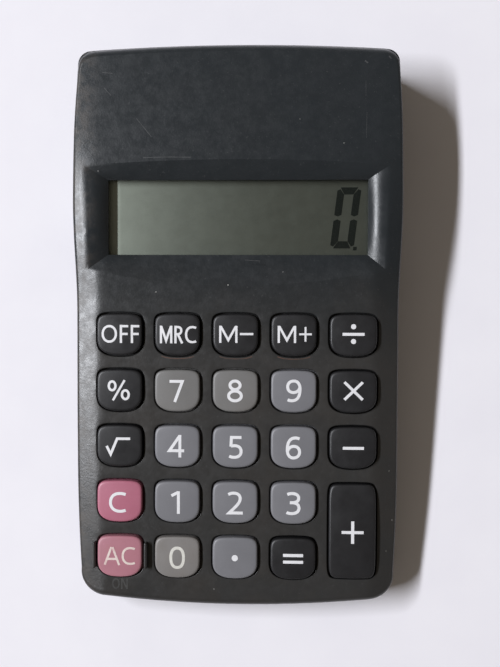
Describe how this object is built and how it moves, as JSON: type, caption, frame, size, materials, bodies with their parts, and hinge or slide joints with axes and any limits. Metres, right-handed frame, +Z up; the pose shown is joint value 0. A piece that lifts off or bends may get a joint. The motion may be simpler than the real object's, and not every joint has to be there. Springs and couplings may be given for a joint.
{
  "type": "pocket calculator",
  "caption": "Battery-powered pocket calculator lying on its back: thick display end, sloping keypad of separate sprung keys, sliding battery cover underneath.",
  "frame": {"origin": "centre of the bounding box at the table plane under the feet", "axes": "+Z up off the table, +Y towards the display end, +X to the right of a user facing the display"},
  "size_m": [0.0694, 0.1186, 0.018],
  "materials": {
    "case_plastic": "fine matte moulding, lightly scratched",
    "dark_key": "satin, darker than the case",
    "grey_key": "satin mid grey",
    "pink_key": "satin dusty pink",
    "window": "clear acrylic, lightly scratched",
    "lcd_glass": "grey-green liquid crystal panel",
    "holder_plastic": "natural moulding",
    "ribbon_film": "amber film",
    "board": "brown phenolic board",
    "steel": "zinc-plated screws",
    "black_rubber": "matte feet",
    "mat_rubber": "silicone mat",
    "carbon": "conductive pills",
    "resin": "black resin blob",
    "capacitor_sleeve": "shrunk sleeve",
    "ceramic": "dipped ceramic disc",
    "resistor_body": "lacquered carbon film resistor",
    "cell_label": "plain printed sleeve",
    "nickel": "nickel-plated contacts",
    "red_pvc": "insulated lead",
    "black_pvc": "insulated lead"
  },
  "bodies": {
    "case": {"front_case": "case_plastic", "rear_case": "case_plastic", "display_window": "window", "lcd_panel": "lcd_glass", "lcd_holder": "holder_plastic", "lcd_ribbon": "ribbon_film", "circuit_board": "board", "board_screws": "steel", "case_screws": "steel", "rubber_feet": "black_rubber", "key_mat": "mat_rubber", "carbon_pills": "carbon", "chip": "resin", "electrolytic_capacitor": "capacitor_sleeve", "ceramic_capacitor": "ceramic", "resistor_1": "resistor_body", "resistor_2": "resistor_body", "aa_cell": "cell_label", "positive_contact": "nickel", "negative_spring": "nickel", "red_lead": "red_pvc", "black_lead": "black_pvc"},
    "cover": {"battery_cover": "case_plastic"},
    "k_off": {"key_off": "dark_key"},
    "k_mrc": {"key_mrc": "dark_key"},
    "k_m_minus": {"key_m_minus": "dark_key"},
    "k_m_plus": {"key_m_plus": "dark_key"},
    "k_divide": {"key_divide": "dark_key"},
    "k_percent": {"key_percent": "dark_key"},
    "k_7": {"key_7": "grey_key"},
    "k_8": {"key_8": "grey_key"},
    "k_9": {"key_9": "grey_key"},
    "k_times": {"key_times": "dark_key"},
    "k_root": {"key_root": "dark_key"},
    "k_4": {"key_4": "grey_key"},
    "k_5": {"key_5": "grey_key"},
    "k_6": {"key_6": "grey_key"},
    "k_minus": {"key_minus": "dark_key"},
    "k_c": {"key_c": "pink_key"},
    "k_1": {"key_1": "grey_key"},
    "k_2": {"key_2": "grey_key"},
    "k_3": {"key_3": "grey_key"},
    "k_plus": {"key_plus": "dark_key"},
    "k_ac": {"key_ac": "pink_key"},
    "k_0": {"key_0": "grey_key"},
    "k_point": {"key_point": "grey_key"},
    "k_equals": {"key_equals": "dark_key"}
  },
  "joints": [
    {"name": "cover_slide", "type": "slide", "parent": "case", "child": "cover", "axis": [0, 1, 0], "range_m": [0, 0.024]},
    {"name": "press_off", "type": "slide", "parent": "case", "child": "k_off", "axis": [0, 0.0941, -0.9956], "range_m": [0, 0.001], "stiffness_N_per_m": 500, "springref_m": -0.0004, "deforming": ["key_mat", "carbon_pills"]},
    {"name": "press_mrc", "type": "slide", "parent": "case", "child": "k_mrc", "axis": [0, 0.0941, -0.9956], "range_m": [0, 0.001], "stiffness_N_per_m": 500, "springref_m": -0.0004, "deforming": ["key_mat", "carbon_pills"]},
    {"name": "press_m_minus", "type": "slide", "parent": "case", "child": "k_m_minus", "axis": [0, 0.0941, -0.9956], "range_m": [0, 0.001], "stiffness_N_per_m": 500, "springref_m": -0.0004, "deforming": ["key_mat", "carbon_pills"]},
    {"name": "press_m_plus", "type": "slide", "parent": "case", "child": "k_m_plus", "axis": [0, 0.0941, -0.9956], "range_m": [0, 0.001], "stiffness_N_per_m": 500, "springref_m": -0.0004, "deforming": ["key_mat", "carbon_pills"]},
    {"name": "press_divide", "type": "slide", "parent": "case", "child": "k_divide", "axis": [0, 0.0941, -0.9956], "range_m": [0, 0.001], "stiffness_N_per_m": 500, "springref_m": -0.0004, "deforming": ["key_mat", "carbon_pills"]},
    {"name": "press_percent", "type": "slide", "parent": "case", "child": "k_percent", "axis": [0, 0.0941, -0.9956], "range_m": [0, 0.001], "stiffness_N_per_m": 500, "springref_m": -0.0004, "deforming": ["key_mat", "carbon_pills"]},
    {"name": "press_7", "type": "slide", "parent": "case", "child": "k_7", "axis": [0, 0.0941, -0.9956], "range_m": [0, 0.001], "stiffness_N_per_m": 500, "springref_m": -0.0004, "deforming": ["key_mat", "carbon_pills"]},
    {"name": "press_8", "type": "slide", "parent": "case", "child": "k_8", "axis": [0, 0.0941, -0.9956], "range_m": [0, 0.001], "stiffness_N_per_m": 500, "springref_m": -0.0004, "deforming": ["key_mat", "carbon_pills"]},
    {"name": "press_9", "type": "slide", "parent": "case", "child": "k_9", "axis": [0, 0.0941, -0.9956], "range_m": [0, 0.001], "stiffness_N_per_m": 500, "springref_m": -0.0004, "deforming": ["key_mat", "carbon_pills"]},
    {"name": "press_times", "type": "slide", "parent": "case", "child": "k_times", "axis": [0, 0.0941, -0.9956], "range_m": [0, 0.001], "stiffness_N_per_m": 500, "springref_m": -0.0004, "deforming": ["key_mat", "carbon_pills"]},
    {"name": "press_root", "type": "slide", "parent": "case", "child": "k_root", "axis": [0, 0.0941, -0.9956], "range_m": [0, 0.001], "stiffness_N_per_m": 500, "springref_m": -0.0004, "deforming": ["key_mat", "carbon_pills"]},
    {"name": "press_4", "type": "slide", "parent": "case", "child": "k_4", "axis": [0, 0.0941, -0.9956], "range_m": [0, 0.001], "stiffness_N_per_m": 500, "springref_m": -0.0004, "deforming": ["key_mat", "carbon_pills"]},
    {"name": "press_5", "type": "slide", "parent": "case", "child": "k_5", "axis": [0, 0.0941, -0.9956], "range_m": [0, 0.001], "stiffness_N_per_m": 500, "springref_m": -0.0004, "deforming": ["key_mat", "carbon_pills"]},
    {"name": "press_6", "type": "slide", "parent": "case", "child": "k_6", "axis": [0, 0.0941, -0.9956], "range_m": [0, 0.001], "stiffness_N_per_m": 500, "springref_m": -0.0004, "deforming": ["key_mat", "carbon_pills"]},
    {"name": "press_minus", "type": "slide", "parent": "case", "child": "k_minus", "axis": [0, 0.0941, -0.9956], "range_m": [0, 0.001], "stiffness_N_per_m": 500, "springref_m": -0.0004, "deforming": ["key_mat", "carbon_pills"]},
    {"name": "press_c", "type": "slide", "parent": "case", "child": "k_c", "axis": [0, 0.0941, -0.9956], "range_m": [0, 0.001], "stiffness_N_per_m": 500, "springref_m": -0.0004, "deforming": ["key_mat", "carbon_pills"]},
    {"name": "press_1", "type": "slide", "parent": "case", "child": "k_1", "axis": [0, 0.0941, -0.9956], "range_m": [0, 0.001], "stiffness_N_per_m": 500, "springref_m": -0.0004, "deforming": ["key_mat", "carbon_pills"]},
    {"name": "press_2", "type": "slide", "parent": "case", "child": "k_2", "axis": [0, 0.0941, -0.9956], "range_m": [0, 0.001], "stiffness_N_per_m": 500, "springref_m": -0.0004, "deforming": ["key_mat", "carbon_pills"]},
    {"name": "press_3", "type": "slide", "parent": "case", "child": "k_3", "axis": [0, 0.0941, -0.9956], "range_m": [0, 0.001], "stiffness_N_per_m": 500, "springref_m": -0.0004, "deforming": ["key_mat", "carbon_pills"]},
    {"name": "press_plus", "type": "slide", "parent": "case", "child": "k_plus", "axis": [0, 0.0941, -0.9956], "range_m": [0, 0.001], "stiffness_N_per_m": 500, "springref_m": -0.0004, "deforming": ["key_mat", "carbon_pills"]},
    {"name": "press_ac", "type": "slide", "parent": "case", "child": "k_ac", "axis": [0, 0.0941, -0.9956], "range_m": [0, 0.001], "stiffness_N_per_m": 500, "springref_m": -0.0004, "deforming": ["key_mat", "carbon_pills"]},
    {"name": "press_0", "type": "slide", "parent": "case", "child": "k_0", "axis": [0, 0.0941, -0.9956], "range_m": [0, 0.001], "stiffness_N_per_m": 500, "springref_m": -0.0004, "deforming": ["key_mat", "carbon_pills"]},
    {"name": "press_point", "type": "slide", "parent": "case", "child": "k_point", "axis": [0, 0.0941, -0.9956], "range_m": [0, 0.001], "stiffness_N_per_m": 500, "springref_m": -0.0004, "deforming": ["key_mat", "carbon_pills"]},
    {"name": "press_equals", "type": "slide", "parent": "case", "child": "k_equals", "axis": [0, 0.0941, -0.9956], "range_m": [0, 0.001], "stiffness_N_per_m": 500, "springref_m": -0.0004, "deforming": ["key_mat", "carbon_pills"]}
  ]
}
